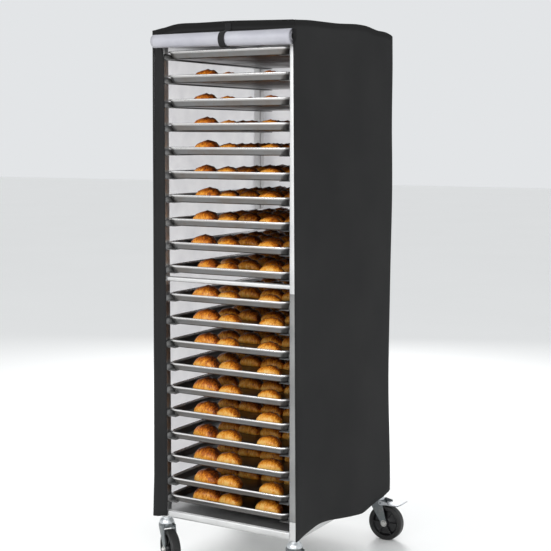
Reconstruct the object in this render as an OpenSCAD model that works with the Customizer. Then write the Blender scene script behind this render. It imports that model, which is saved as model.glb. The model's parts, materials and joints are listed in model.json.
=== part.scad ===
// End-load sheet pan rack on casters, with its pans and its fabric cover.
// Origin: on the floor, at the middle of the rack's footprint.
// +Z is up, -Y is the front that the pans slide out of, and X runs along the front.

/* [Rack] */
// Width over the posts
rack_w = 514; // [500:1:560]
// Depth over the posts
rack_d = 620; // [600:1:700]
// Height of the rack's top
rack_h = 1763; // [1760:1:1800]
// Side of the square tube
tube = 25; // [22:1:30]
// Wall of the square tube
tube_wall = 1.6; // [1.2:0.1:2.5]
// Height of the base frame's underside, which the casters carry
base_z = 163; // [160:1:175]
// Top of the four base legs, where the posts are plugged on
leg_top_z = 222; // [215:1:240]
// Height of the joint between the lower and the upper posts
mid_joint_z = 938; // [925:1:945]
// Height of the square bars that tie the posts at mid height
mid_bar = 16; // [12:1:20]
// Underside of the mid bars
mid_bar_z = 950; // [947:1:955]

/* [Levels] */
// Number of pan levels
levels = 20; // [20:1:20]
// Height of the lowest ledge
lowest_ledge_z = 219; // [215:0.5:225]
// Step from the lowest ledge to the next one
low_step = 58; // [50:1:76]
// Step between ledges
level_step = 76.2; // [74:0.1:76.2]
// Step across the mid bars
mid_step = 92; // [88:1:100]
// Depth of a runner's ledge, from the post inwards
ledge_w = 36; // [30:1:45]
// Height of a runner's upright leg
ledge_h = 20; // [14:1:24]
// Thickness of the runners
ledge_t = 2; // [1.5:0.1:3]

/* [Pans] */
// Width of a pan over its rim
pan_w = 454; // [440:1:455]
// Length of a pan over its rim
pan_l = 632; // [580:1:654]
// Height of a pan
pan_h = 25; // [20:1:30]
// Sheet thickness of a pan
pan_t = 1.2; // [0.8:0.1:2]
// Corner radius of a pan's wall at the rim
pan_r = 30; // [24:1:40]
// How far each wall leans in from rim to floor
pan_lean = 10; // [6:1:14]
// Width of the rolled rim
rim_w = 4; // [3:0.5:5]
// Height of the rolled rim
rim_h = 5; // [4:0.5:6]

/* [Casters] */
// Wheel diameter
wheel_d = 125; // [120:1:127]
// Tyre width
tyre_w = 32; // [28:1:36]
// Offset of the wheel's axle from the swivel axis
trail = 35; // [30:1:40]
// Axle diameter
axle_d = 12; // [10:1:14]
// Direction that each caster trails in: front left, front right, back left, back right
caster_turn = [-35, -35, 180, 0];

/* [Cover] */
// Width over the cover
cover_w = 552; // [545:1:570]
// Front face of the cover
cover_front_y = -330; // [-335:1:-330]
// Back face of the cover
cover_back_y = 362; // [350:1:390]
// Hem of the cover
hem_z = 165; // [150:1:200]
// Thickness that stands for the lined fabric
cloth_t = 2.4; // [1:0.1:4]
// Lower edge of the band above the opening
band_z = 1732; // [1728:1:1750]
// Width of the strip down the left of the opening
left_strip_w = 44; // [20:1:50]
// Width of the strip down the right of the opening
right_strip_w = 12; // [8:1:20]
// Diameter of the rolled-up front flap
roll_d = 46; // [40:1:46]
// Length of the rolled-up flap
roll_l = 494; // [480:1:510]
// Shift of the rolled-up flap to the right of the middle
roll_x = 10; // [0:1:12]
// Height of the middle of the rolled-up flap
roll_z = 1715; // [1715:1:1730]

/* [Hidden] */
CORNERS = ["front_left", "front_right", "back_left", "back_right"];
function two_digits(i) = i < 10 ? str("0", i) : str(i);
function pan_name(i) = str("pan_", two_digits(i));
PAN_NODES = [for (i = [1 : levels]) pan_name(i)];
CASTER_PARTS = ["caster_stem", "caster_fork", "axle", "tyre", "hub"];
CASTER_NODES = [for (p = CASTER_PARTS, c = CORNERS) str(p, "_", c)];
POST_NODES = [for (c = CORNERS) str("post_", c)];

$fn = 48;
eps = 0.01;
gap = 0.2;               // clearance between pieces that only rest on each other
shelf_t = 1.5;
plug_fit = 0.1;          // clearance of a plug in its tube
plug_h = 60;
inner = tube - 2 * tube_wall;
post_x = rack_w / 2 - tube / 2;
post_y = rack_d / 2 - tube / 2;
caster_x = post_x;
caster_y = post_y;

// Height of the ledge at level i, with level 1 at the top
function ledge_z(i) =
    lowest_ledge_z
    + (i < levels ? low_step + (levels - 1 - i) * level_step : 0)
    + (i <= levels / 2 ? mid_step - level_step : 0);

// Sign of a corner along X and Y: 0 front left, 1 front right, 2 back left, 3 back right
function side_x(c) = c % 2 == 0 ? -1 : 1;
function side_y(c) = c < 2 ? -1 : 1;

steel = [0.78, 0.79, 0.80];
zinc = [0.70, 0.72, 0.74];
black = [0.10, 0.10, 0.10];
charcoal = [0.17, 0.17, 0.17];
lining = [0.80, 0.81, 0.84];

// ---- frame ----

// Square tube along Z from z0 to z1, centred on X and Y
module tube_z(z0, z1) {
    difference() {
        translate([-tube / 2, -tube / 2, z0]) cube([tube, tube, z1 - z0]);
        translate([-inner / 2, -inner / 2, z0 - 1]) cube([inner, inner, z1 - z0 + 2]);
    }
}

// Square tube along X, centred on the origin
module tube_x(length, side, wall) {
    difference() {
        cube([length, side, side], center = true);
        cube([length + 2, side - 2 * wall, side - 2 * wall], center = true);
    }
}

module at_corner(c) translate([side_x(c) * post_x, side_y(c) * post_y, 0]) children();

// Welded ring of four bars and four short legs that the casters and the posts plug into
module base_frame() color(steel) {
    bar_z = base_z + tube / 2;
    union() {
        for (c = [0 : 3]) at_corner(c) tube_z(base_z, leg_top_z);
        for (s = [-1, 1]) {
            translate([0, s * post_y, bar_z]) tube_x(rack_w - 2 * tube, tube, tube_wall);
            translate([s * post_x, 0, bar_z]) rotate(90) tube_x(rack_d - 2 * tube, tube, tube_wall);
        }
    }
}

// Sheet that lies on the base frame between the legs
module base_shelf() color(zinc) {
    z = base_z + tube + gap;
    notch = tube + 2;
    difference() {
        translate([-rack_w / 2 + 2, -rack_d / 2 + 2, z]) cube([rack_w - 4, rack_d - 4, shelf_t]);
        for (c = [0 : 3]) at_corner(c) translate([-notch / 2, -notch / 2, z - 1]) {
            cube([notch, notch, shelf_t + 2]);
            translate([side_x(c) * 5, side_y(c) * 5, 0]) cube([notch, notch, shelf_t + 2]);
        }
    }
}

// One post: a lower and an upper tube, which meet at the mid joint
module post(c) color(steel) at_corner(c) {
    tube_z(leg_top_z + gap, mid_joint_z);
    tube_z(mid_joint_z + gap, rack_h);
}

// Bars that tie the front posts and the back posts at mid height
module mid_bars() color(steel) for (s = [-1, 1])
    translate([0, s * (rack_d / 2 - mid_bar / 2 - 2), mid_bar_z + mid_bar / 2])
        tube_x(rack_w - 2 * tube - 2 * gap, mid_bar, tube_wall);

// Four bars between the post tops
module top_frame() color(steel) {
    z = rack_h - tube / 2;
    for (s = [-1, 1]) {
        translate([0, s * post_y, z]) tube_x(rack_w - 2 * tube - 2 * gap, tube, tube_wall);
        translate([s * post_x, 0, z]) rotate(90) tube_x(rack_d - 2 * tube - 2 * gap, tube, tube_wall);
    }
}

// Solid plugs inside the tubes, across the mid joints and across the tops of the base legs
module post_plugs() color(zinc) for (c = [0 : 3], z = [leg_top_z, mid_joint_z]) at_corner(c) {
    side = inner - 2 * plug_fit;
    translate([-side / 2, -side / 2, z - plug_h / 2]) cube([side, side, plug_h]);
}

// Angle runner: a ledge that the pan rests on, and an upright leg along the posts
module runner(side, i) translate([side * (rack_w / 2 - tube), 0, ledge_z(i)]) {
    x_ledge = side > 0 ? -ledge_w : 0;
    x_leg = side > 0 ? -ledge_t : 0;
    translate([x_ledge, -rack_d / 2, -ledge_t]) cube([ledge_w, rack_d, ledge_t]);
    translate([x_leg, -rack_d / 2, -ledge_t]) cube([ledge_t, rack_d, ledge_h]);
}

module runners_left() color(steel) for (i = [1 : levels]) runner(-1, i);
module runners_right() color(steel) for (i = [1 : levels]) runner(1, i);

// ---- pans ----

// Rectangle with round corners
module rounded_rect(w, l, r) {
    square([w - 2 * r, l], center = true);
    square([w, l - 2 * r], center = true);
    for (sx = [-1, 1], sy = [-1, 1]) translate([sx * (w / 2 - r), sy * (l / 2 - r)]) circle(r);
}

// Solid with leaning walls: w by l at height h, and narrower by lean on each side at the bottom
module leaning_block(w, l, h, r, lean) {
    for (sx = [-1, 1], sy = [-1, 1])
        translate([sx * (w / 2 - r), sy * (l / 2 - r), 0]) cylinder(h = h, r1 = r - lean, r2 = r);
    rotate([90, 0, 0]) linear_extrude(height = l - 2 * r, center = true)
        polygon([[-w / 2 + lean, 0], [w / 2 - lean, 0], [w / 2, h], [-w / 2, h]]);
    rotate([90, 0, 90]) linear_extrude(height = w - 2 * r, center = true)
        polygon([[-l / 2 + lean, 0], [l / 2 - lean, 0], [l / 2, h], [-l / 2, h]]);
}

// Sheet pan: a shallow tray with leaning walls and a rolled rim
module pan(i) color(steel) translate([0, 0, ledge_z(i) + gap]) {
    w = pan_w - 2 * rim_w;
    l = pan_l - 2 * rim_w;
    difference() {
        union() {
            leaning_block(w, l, pan_h, pan_r, pan_lean);
            translate([0, 0, pan_h - rim_h]) linear_extrude(height = rim_h)
                rounded_rect(pan_w, pan_l, pan_r + rim_w);
        }
        translate([0, 0, pan_t])
            leaning_block(w - 2 * pan_t, l - 2 * pan_t, pan_h - pan_t + eps, pan_r - pan_t, pan_lean);
    }
}

// ---- casters: local frame on the floor under the swivel axis, trailing along +X ----

axle_z = wheel_d / 2;
head_z = 141;            // face between the fixed head and the turning fork
head_gap = 0.4;
stem_plug_h = 26;        // plug of the head in the base leg
pin_r = 6;               // kingpin
running = 0.05;          // radial running clearance
leg_in = tyre_w / 2 + 3; // inner face of a fork leg
leg_t = 3;
leg_out = leg_in + leg_t;
pedal_x = 22.5;          // brake pedal's pivot
pedal_z = 135;
pedal_pin_r = 3;

module at_caster(c) translate([side_x(c) * caster_x, side_y(c) * caster_y, 0]) rotate(caster_turn[c]) children();

// Head that is fixed to the base leg, with its square plug above and its kingpin below
module caster_stem(c) color(zinc) translate([side_x(c) * caster_x, side_y(c) * caster_y, 0]) {
    plug = inner - 2 * plug_fit;
    rotate_extrude() polygon([
        [0, 124], [9, 124], [9, 127.5], [pin_r, 127.5], [pin_r, head_z],
        [25, head_z], [25, head_z + 3], [23, head_z + 9], [19, head_z + 14], [16, head_z + 17],
        [16, base_z - gap], [0, base_z - gap]]);
    translate([-plug / 2, -plug / 2, base_z - gap - eps]) cube([plug, plug, stem_plug_h]);
}

// One leg of the fork, as an outline in X and Z
module fork_leg_outline() {
    polygon([[-17, 138], [-19, 128], [trail - 11, axle_z], [trail + 11, axle_z + 2], [29, 128], [27, 138]]);
    translate([trail, axle_z]) circle(11);
}

// Turning fork: a crown round the kingpin, and two legs to the axle
module caster_fork(c) color(zinc) at_caster(c) difference() {
    union() {
        translate([0, 0, 133]) cylinder(h = head_z - head_gap - 133, r = 26);
        translate([-18, -leg_out, 128.5]) cube([43, 2 * leg_out, 6.5]);
        for (s = [-1, 1]) translate([0, s * (leg_in + leg_t / 2), 0]) rotate([90, 0, 0])
            linear_extrude(height = leg_t, center = true) fork_leg_outline();
        if (c >= 2) for (s = [-1, 1]) translate([pedal_x, s * (leg_out + 2), pedal_z]) rotate([90, 0, 0])
            cylinder(h = 6, r = pedal_pin_r, center = true);
    }
    translate([0, 0, 120]) cylinder(h = 30, r = pin_r + running);
    translate([0, 0, 120]) cylinder(h = 8.2, r = 10);
    translate([trail, 0, axle_z]) rotate([90, 0, 0]) cylinder(h = 80, r = axle_d / 2 + running, center = true);
}

// Axle bolt with its head and its nut
module axle(c) color(steel) at_caster(c) translate([trail, 0, axle_z]) rotate([90, 0, 0]) {
    cylinder(h = 2 * leg_out + 12, r = axle_d / 2, center = true);
    for (s = [-1, 1]) translate([0, 0, s * (leg_out + 0.1 + 2.5)]) cylinder(h = 5, r = 9, center = true, $fn = 6);
}

// Solid ring turned round the axle from an outline of radius and offset
module turned(c) at_caster(c) translate([trail, 0, axle_z]) rotate([90, 0, 0]) rotate_extrude() children();

tread_t = 12;            // thickness of the tyre, and radius of its shoulders
tread_r = 5;

module tyre(c) color(black) turned(c) {
    w = tyre_w / 2;
    r = wheel_d / 2;
    translate([r - tread_t, -w]) square([tread_t - tread_r, 2 * w]);
    translate([r - tread_t, -w + tread_r]) square([tread_t, 2 * (w - tread_r)]);
    for (s = [-1, 1]) translate([r - tread_r, s * (w - tread_r)]) circle(tread_r);
}

module hub(c) color(charcoal) turned(c) {
    r = wheel_d / 2 - tread_t - 0.1;
    bore = axle_d / 2 + running;
    translate([bore, -leg_in + 0.5]) square([15 - bore, 2 * leg_in - 1]);
    translate([14, -4]) square([r - 16, 8]);
    translate([r - 6, -tyre_w / 2 + 2]) square([6, tyre_w - 4]);
}

// Foot pedal that locks a back wheel: two cheeks on the fork's pins and a plate over the tyre
module brake_pedal(c) color(zinc) at_caster(c) {
    plate_y = leg_out + 4;
    difference() {
        union() {
            for (s = [-1, 1]) translate([0, s * (leg_out + 0.3 + 1.5), 0]) rotate([90, 0, 0])
                linear_extrude(height = 3, center = true) {
                    translate([pedal_x, pedal_z]) circle(8);
                    polygon([[pedal_x, pedal_z - 8], [pedal_x + 26, 130], [pedal_x + 26, 138],
                        [pedal_x, pedal_z + 8]]);
                }
            rotate([90, 0, 0]) linear_extrude(height = 2 * leg_out + 6.6, center = true)
                polygon([[pedal_x + 16, 130], [88, 130], [104, 138], [104, 141], [87, 133], [pedal_x + 16, 133]]);
        }
        translate([pedal_x, 0, pedal_z]) rotate([90, 0, 0])
            cylinder(h = 2 * plate_y + 10, r = pedal_pin_r + running, center = true);
    }
}

// ---- cover: panels of lined fabric, each a solid with a small gap at its seams ----

cover_x = cover_w / 2;
cover_top_z = rack_h + gap + cloth_t;

module panel(x0, x1, y0, y1, z0, z1) translate([x0, y0, z0]) cube([x1 - x0, y1 - y0, z1 - z0]);

module cover() color(charcoal) {
    y0 = cover_front_y;
    y1 = cover_back_y;
    t = cloth_t;
    z1 = rack_h;
    panel(-cover_x, cover_x, y0, y1, rack_h + gap, cover_top_z);
    panel(-cover_x, -cover_x + t, y0, y1, hem_z, z1);
    panel(cover_x - t, cover_x, y0, y1, hem_z, z1);
    panel(-cover_x + t + gap, cover_x - t - gap, y1 - t, y1, hem_z, z1);
    panel(-cover_x + t + gap, cover_x - t - gap, y0, y0 + t, band_z, z1);
    panel(-cover_x + t + gap, -cover_x + left_strip_w, y0, y0 + t, hem_z, band_z - gap);
    panel(cover_x - right_strip_w, cover_x - t - gap, y0, y0 + t, hem_z, band_z - gap);
}

roll_y = cover_front_y - roll_d / 2 - 0.5;

// Front flap, rolled up below the band
module flap_roll() color(lining) translate([roll_x, roll_y, roll_z]) rotate([0, 90, 0])
    cylinder(h = roll_l, r = roll_d / 2, center = true);

strap_w = 28;
strap_t = 0.5;
strap_x = 24;

// Strap that ties the rolled flap to the band
module flap_strap() color(black) translate([strap_x, 0, 0]) {
    translate([0, roll_y, roll_z]) rotate([0, 90, 0]) difference() {
        cylinder(h = strap_w, r = roll_d / 2 + strap_t + 0.3, center = true);
        cylinder(h = strap_w + 2, r = roll_d / 2 + 0.3, center = true);
        translate([-50, roll_d / 2 - 6, -50]) cube(100);
    }
}

// ---- nodes ----

base_frame();
base_shelf();
mid_bars();
top_frame();
post_plugs();
runners_left();
runners_right();
for (i = [1 : levels]) pan(i);
for (c = [0 : 3]) {
    post(c);
    caster_stem(c);
    caster_fork(c);
    axle(c);
    tyre(c);
    hub(c);
}
brake_pedal(2);  // brake_pedal_back_left
brake_pedal(3);  // brake_pedal_back_right
cover();
flap_roll();
flap_strap();
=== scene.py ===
# %% [markdown]
# # A bakery rack under its cover
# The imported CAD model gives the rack's bodies, joints and sizes, and this script gives the looks. The hard pieces
# are placed from the boxes and joints of the CAD nodes, and the loose cloth has an outline of its own. Units are
# metres, Z is up, and the front of the rack faces -Y.

# %% Load the frame
import json
import math

import bmesh
import bpy
import numpy as np
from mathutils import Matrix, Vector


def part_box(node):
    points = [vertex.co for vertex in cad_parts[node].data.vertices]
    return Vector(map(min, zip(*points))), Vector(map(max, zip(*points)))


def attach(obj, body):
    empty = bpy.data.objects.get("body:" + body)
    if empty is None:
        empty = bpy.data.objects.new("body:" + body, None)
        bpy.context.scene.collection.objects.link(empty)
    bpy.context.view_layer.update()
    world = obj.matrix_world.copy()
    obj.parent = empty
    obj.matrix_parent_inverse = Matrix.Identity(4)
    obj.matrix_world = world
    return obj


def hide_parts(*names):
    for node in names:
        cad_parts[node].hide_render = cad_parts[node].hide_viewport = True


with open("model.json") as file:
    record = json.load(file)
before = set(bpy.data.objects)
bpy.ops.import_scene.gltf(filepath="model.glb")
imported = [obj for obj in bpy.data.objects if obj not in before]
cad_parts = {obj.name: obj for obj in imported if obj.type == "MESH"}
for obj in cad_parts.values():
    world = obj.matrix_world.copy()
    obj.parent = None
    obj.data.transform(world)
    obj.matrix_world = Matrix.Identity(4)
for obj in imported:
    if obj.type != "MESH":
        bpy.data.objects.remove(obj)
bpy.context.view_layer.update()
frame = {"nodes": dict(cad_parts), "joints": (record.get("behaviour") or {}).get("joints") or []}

CORNERS = ("front_left", "front_right", "back_left", "back_right")
PANS = [f"pan_{i:02d}" for i in range(1, 21)]
rng = np.random.default_rng(20)

# %% [markdown]
# ## Camera, floor and light
# A tall object is seen best through a longer lens from well back. The camera stands a little above the middle
# of the rack and looks down by a few degrees, and a small shift puts the rack in the frame.

# %% Camera
CAMERA_TURN = math.radians(30.5)
CAMERA_DISTANCE = 4.081
CAMERA_HEIGHT = 1.413
CAMERA_PITCH = math.radians(5.0)
LENS_MM, SHIFT_UP = 79.4, -0.056

camera_data = bpy.data.cameras.new("camera")
camera_data.sensor_width = 36.0
camera_data.lens = LENS_MM
camera_data.shift_y = SHIFT_UP
camera = bpy.data.objects.new("camera", camera_data)
camera.location = (
    math.sin(CAMERA_TURN) * CAMERA_DISTANCE,
    -math.cos(CAMERA_TURN) * CAMERA_DISTANCE,
    CAMERA_HEIGHT,
)
camera.rotation_euler = (math.pi / 2 - CAMERA_PITCH, 0, CAMERA_TURN)
bpy.context.scene.collection.objects.link(camera)
bpy.context.scene.camera = camera
print("camera at", [round(v, 2) for v in camera.location])


# %% [markdown]
# ## Shader maths as Python expressions
# A material is a graph of nodes. Wrapping each socket in a small class lets the graph be written as sums and
# products, and one method makes every other kind of node.

# %% Sockets and finishes
class Value:
    """A node's output that takes + - * and / with numbers and with other outputs, by adding Math nodes."""

    def __init__(self, finish, socket):
        self.finish, self.socket = finish, socket

    def math(self, operation, *values):
        return self.finish.node("ShaderNodeMath", {"operation": operation}, *values)

    def __add__(self, other):
        return self.math("ADD", self, other)

    __radd__ = __add__

    def __mul__(self, other):
        return self.math("MULTIPLY", self, other)

    __rmul__ = __mul__

    def __sub__(self, other):
        return self.math("SUBTRACT", self, other)

    def __rsub__(self, other):
        return self.math("SUBTRACT", other, self)

    def __truediv__(self, other):
        return self.math("DIVIDE", self, other)

    def sine(self):
        return self.math("SINE", self)

    def limit(self, low=0.0, high=1.0):
        """The value cut off below low and above high."""
        return self.math("MINIMUM", self.math("MAXIMUM", self, low), high)

    def between(self, start, end):
        """0 at start, 1 at end, and a straight ramp between them."""
        return ((self - start) / (end - start)).limit()


class Finish:
    """A material in the making. Its methods add nodes and give back outputs as Values."""

    def __init__(self, name, **constants):
        self.material = bpy.data.materials.new(name)
        self.material.use_nodes = True
        self.tree = self.material.node_tree
        self.shader = self.tree.nodes["Principled BSDF"]
        for socket, value in constants.items():
            self.shader.inputs[socket.replace("_", " ")].default_value = value

    def node(self, kind, settings=None, *values, output=0, **named):
        """Adds a node of this kind, sets its settings, feeds its inputs in order and by name."""
        made = self.tree.nodes.new(kind)
        for key, value in (settings or {}).items():
            if key == "stops":
                while len(made.color_ramp.elements) < len(value):
                    made.color_ramp.elements.new(0.5)
                for stop, (place, colour) in zip(made.color_ramp.elements, value):
                    stop.position, stop.color = place, (*colour, 1)
            else:
                setattr(made, key, value)
        pairs = [*enumerate(values), *((k.replace("_", " "), v) for k, v in named.items())]
        for key, value in pairs:
            if isinstance(value, Value):
                self.tree.links.new(value.socket, made.inputs[key])
            elif value is not None:
                made.inputs[key].default_value = value
        return Value(self, made.outputs[output])

    def place(self, stretch=(1, 1, 1), turn=(0, 0, 0)):
        """Object coordinates, stretched and turned by a Mapping node."""
        here = self.node("ShaderNodeTexCoord", output="Object")
        return self.node("ShaderNodeMapping", None, here, Scale=stretch, Rotation=turn)

    def cloth_uv(self):
        return self.node("ShaderNodeTexCoord", output="UV")

    def part(self, vector, index):
        """One component of a vector: 0, 1 or 2."""
        return self.node("ShaderNodeSeparateXYZ", None, vector, output=index)

    def noise(self, where, scale, detail=3.0, rough=0.5):
        return self.node("ShaderNodeTexNoise", None, Vector=where, Scale=scale, Detail=detail, Roughness=rough)

    def cells(self, where, scale):
        return self.node("ShaderNodeTexVoronoi", None, Vector=where, Scale=scale)

    def mix(self, factor, first, second):
        """A colour between first, at factor 0, and second, at factor 1."""
        made = self.tree.nodes.new("ShaderNodeMix")
        made.data_type = "RGBA"
        for key, value in ((0, factor), (6, first), (7, second)):
            if isinstance(value, Value):
                self.tree.links.new(value.socket, made.inputs[key])
            else:
                made.inputs[key].default_value = (*value, 1) if key else value
        return Value(self, made.outputs[2])

    def bump(self, height, strength, distance, under=None):
        return self.node(
            "ShaderNodeBump", None, Height=height, Strength=strength, Distance=distance, Normal=under
        )

    def feed(self, **sockets):
        """Links each Value to the shader's input of that name."""
        for socket, value in sockets.items():
            self.tree.links.new(value.socket, self.shader.inputs[socket.replace("_", " ")])
        return self.material


# %% [markdown]
# ## Metals
# Drawn aluminium tube is satin, with fine streaks along its length. The lower lengths of the posts take a darker
# copy of it, which is painted shade, and the runners a darker one still, also painted shade. Sheet pans are dulled
# and browned by oil and baking, with a near-white rim that is a painted highlight. Zinc plate has a faint
# patchwork of crystals: bright on the swivel heads, worn on the pedals and dull on the forks.

# %% Metal finishes
def drawn_aluminium(name, stretch, low=0.60, high=0.72):
    """Satin metal, a grey between low and high, with long fine streaks. stretch is small along the drawing."""
    f = Finish(name, Metallic=1.0)
    streaks = f.noise(f.place(stretch), 900.0, 2.0)
    clouds = f.noise(f.place(), 9.0, 3.0)
    grime = f.noise(f.place(), 46.0, 5.0, 0.65).between(0.56, 0.78)
    tone = f.mix(clouds.between(0.3, 0.7), (low, low, low), (high, high, high * 0.99))
    tone = f.mix(grime * 0.35, tone, (0.50, 0.46, 0.40))
    rough = 0.36 + streaks * 0.12 + clouds * 0.08 + grime * 0.15
    return f.feed(Base_Color=tone, Roughness=rough, Normal=f.bump(streaks, 0.10, 0.0002))


def baked_aluminium(name):
    """Pan sheet: dull grey walls with brown baked-on oil in soft patches, and a rim painted bright as a highlight.
    """
    f = Finish(name, Metallic=1.0)
    rubbed = f.node("ShaderNodeAttribute", {"attribute_name": "rubbed"}, output="Fac")
    here = f.place()
    patches = f.noise(here, 11.0, 5.0, 0.62).between(0.42, 0.72)
    spots = f.noise(here, 75.0, 4.0, 0.7).between(0.58, 0.74)
    scratch = f.noise(f.place((1, 0.03, 1), (0, 0, 0.4)), 700.0, 2.0)
    tone = f.mix(patches * 0.5, (0.19, 0.19, 0.19), (0.17, 0.13, 0.095))
    tone = f.mix(spots * 0.45, tone, (0.17, 0.11, 0.06))
    # The rim takes a near-white colour: a painted highlight.
    tone = f.mix(rubbed, tone, (0.86, 0.85, 0.84))
    rough = 0.26 + patches * 0.14 + scratch * 0.10 + spots * 0.10 - rubbed * 0.05
    return f.feed(Base_Color=tone, Roughness=rough, Normal=f.bump(scratch + patches, 0.12, 0.0003))


def zinc_plate(name, tint):
    """Bright zinc: crystals a few millimetres across change its tone and its roughness a little."""
    f = Finish(name, Metallic=1.0)
    crystals = f.cells(f.place(), 260.0)
    dust = f.noise(f.place(), 60.0, 4.0, 0.6).between(0.5, 0.75)
    tone = f.mix(crystals.between(0.1, 0.7), tint, tuple(0.82 * c for c in tint))
    tone = f.mix(dust * 0.4, tone, (0.36, 0.34, 0.31))
    return f.feed(Base_Color=tone, Roughness=0.24 + crystals * 0.2 + dust * 0.2,
                  Normal=f.bump(crystals, 0.06, 0.0003))


TUBE_UPRIGHT = drawn_aluminium("aluminium_upright", (1, 1, 0.01))
# A darker copy of the upright tube's finish for the posts' lower lengths: painted shade.
TUBE_LOWER_SHADED = drawn_aluminium("aluminium_lower_painted_shade", (1, 1, 0.01), 0.22, 0.32)
TUBE_ACROSS = drawn_aluminium("aluminium_across", (0.01, 1, 1))
TUBE_DEEP = drawn_aluminium("aluminium_deep", (1, 0.01, 1))
# A darker copy still for the runners: painted shade.
RUNNER_SHADED_METAL = drawn_aluminium("aluminium_runner_painted_shade", (1, 0.01, 1), 0.11, 0.19)
PAN_SHEET = baked_aluminium("pan_sheet")
ZINC = zinc_plate("zinc", (0.74, 0.77, 0.79))
WORN_ZINC = zinc_plate("worn_zinc", (0.50, 0.52, 0.54))
DULL_ZINC = zinc_plate("dull_zinc", (0.20, 0.22, 0.23))
BOLT = zinc_plate("bolt", (0.66, 0.66, 0.64))
print("metals", len(bpy.data.materials))


# %% [markdown]
# ## Cloth, rubber and plastic
# The cover is woven polyester: a plain weave with threads under a millimetre, matt, with soft shallow creases
# and a darker band under its top edge. Its inside has a silver coating that fills the weave, and the rolled flap
# takes a greyer copy of that finish, which is painted shade. The strap is a coarser webbing.

# %% Soft finishes
def woven(f, threads):
    """Height of a plain weave with this many pairs of threads per metre: a product of two sines over the UVs."""
    across, along = ((f.part(f.cloth_uv(), k) * (threads * math.tau)).sine() for k in (0, 1))
    return across * along * 0.5 + 0.5


def black_cloth(name):
    f = Finish(name, Sheen_Weight=0.02, Sheen_Roughness=0.5, Specular_IOR_Level=0.22)
    weave = woven(f, 700.0)
    clouds = f.noise(f.place(), 3.2, 4.0, 0.55)
    lint = f.noise(f.place(), 420.0, 2.0)
    tone = f.mix(clouds.between(0.3, 0.72), (0.011, 0.011, 0.0115), (0.017, 0.017, 0.017))
    tone = f.mix(lint.between(0.66, 0.8) * 0.3, tone, (0.045, 0.045, 0.045))
    # A darker band under the top edge and over the turn of the edge.
    binding = f.node("ShaderNodeAttribute", {"attribute_name": "binding"}, output="Fac")
    tone = f.mix(binding, tone, (0.006, 0.006, 0.006))
    creases = f.noise(f.place((1, 1, 0.35)), 7.0, 3.0, 0.5)
    normal = f.bump(creases, 0.25, 0.006)
    return f.feed(Base_Color=tone, Roughness=0.78 + weave * 0.12, Normal=f.bump(weave, 0.3, 0.0003, normal))


def silver_cloth(name, low, high):
    f = Finish(name, Metallic=0.15, Sheen_Weight=0.05)
    weave = woven(f, 600.0)
    clouds = f.noise(f.place((0.5, 1, 1)), 14.0, 4.0, 0.6)
    tone = f.mix(clouds.between(0.3, 0.7), low, high)
    normal = f.bump(clouds, 0.2, 0.003)
    return f.feed(Base_Color=tone, Roughness=0.42 + clouds * 0.2, Normal=f.bump(weave, 0.15, 0.0002, normal))


def webbing(name):
    f = Finish(name, Sheen_Weight=0.02, Specular_IOR_Level=0.22)
    weave = woven(f, 500.0)
    tone = f.mix(weave, (0.006, 0.006, 0.0065), (0.020, 0.020, 0.021))
    return f.feed(Base_Color=tone, Roughness=0.7 + weave * 0.15, Normal=f.bump(weave, 0.5, 0.0005))


def black_solid(name, low, high, rough, grain):
    """Black rubber or plastic with scuffs that are a little greyer and duller."""
    f = Finish(name)
    scuffs = f.noise(f.place(), 120.0, 5.0, 0.7).between(0.5, 0.75)
    fine = f.noise(f.place(), grain, 2.0)
    tone = f.mix(scuffs, low, high)
    return f.feed(Base_Color=tone, Roughness=rough + scuffs * 0.2, Normal=f.bump(fine, 0.15, 0.0002))


BLACK_CLOTH = black_cloth("black_cloth")
SILVER_CLOTH = silver_cloth("silver_cloth", (0.62, 0.62, 0.64), (0.72, 0.72, 0.73))
# A greyer copy of the lining for the rolled flap: painted shade.
ROLL_CLOTH_SHADED = silver_cloth("rolled_lining_painted_shade", (0.33, 0.33, 0.37), (0.44, 0.44, 0.475))
WEBBING = webbing("webbing")
RUBBER = black_solid("rubber", (0.004, 0.004, 0.004), (0.022, 0.021, 0.020), 0.42, 900.0)
PLASTIC = black_solid("plastic", (0.004, 0.004, 0.005), (0.016, 0.016, 0.016), 0.30, 1500.0)
print("finishes so far", len(bpy.data.materials))


# %% [markdown]
# ## Surfaces from grids
# Most pieces are a grid of points: rows along one direction and columns along the other. Numpy works out all
# the points at once, and the same rule joins neighbours into quads for every piece.

# %% Grids to meshes
def quads(rows, cols, wrap_cols):
    """Corner numbers of the quads between neighbours in a rows x cols grid numbered row by row."""
    first = np.arange(rows - 1)[:, None] * cols
    j = np.arange(cols if wrap_cols else cols - 1)[None, :]
    j2 = (j + 1) % cols
    return np.stack([first + j, first + j2, first + cols + j2, first + cols + j], -1).reshape(-1, 4)


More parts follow.
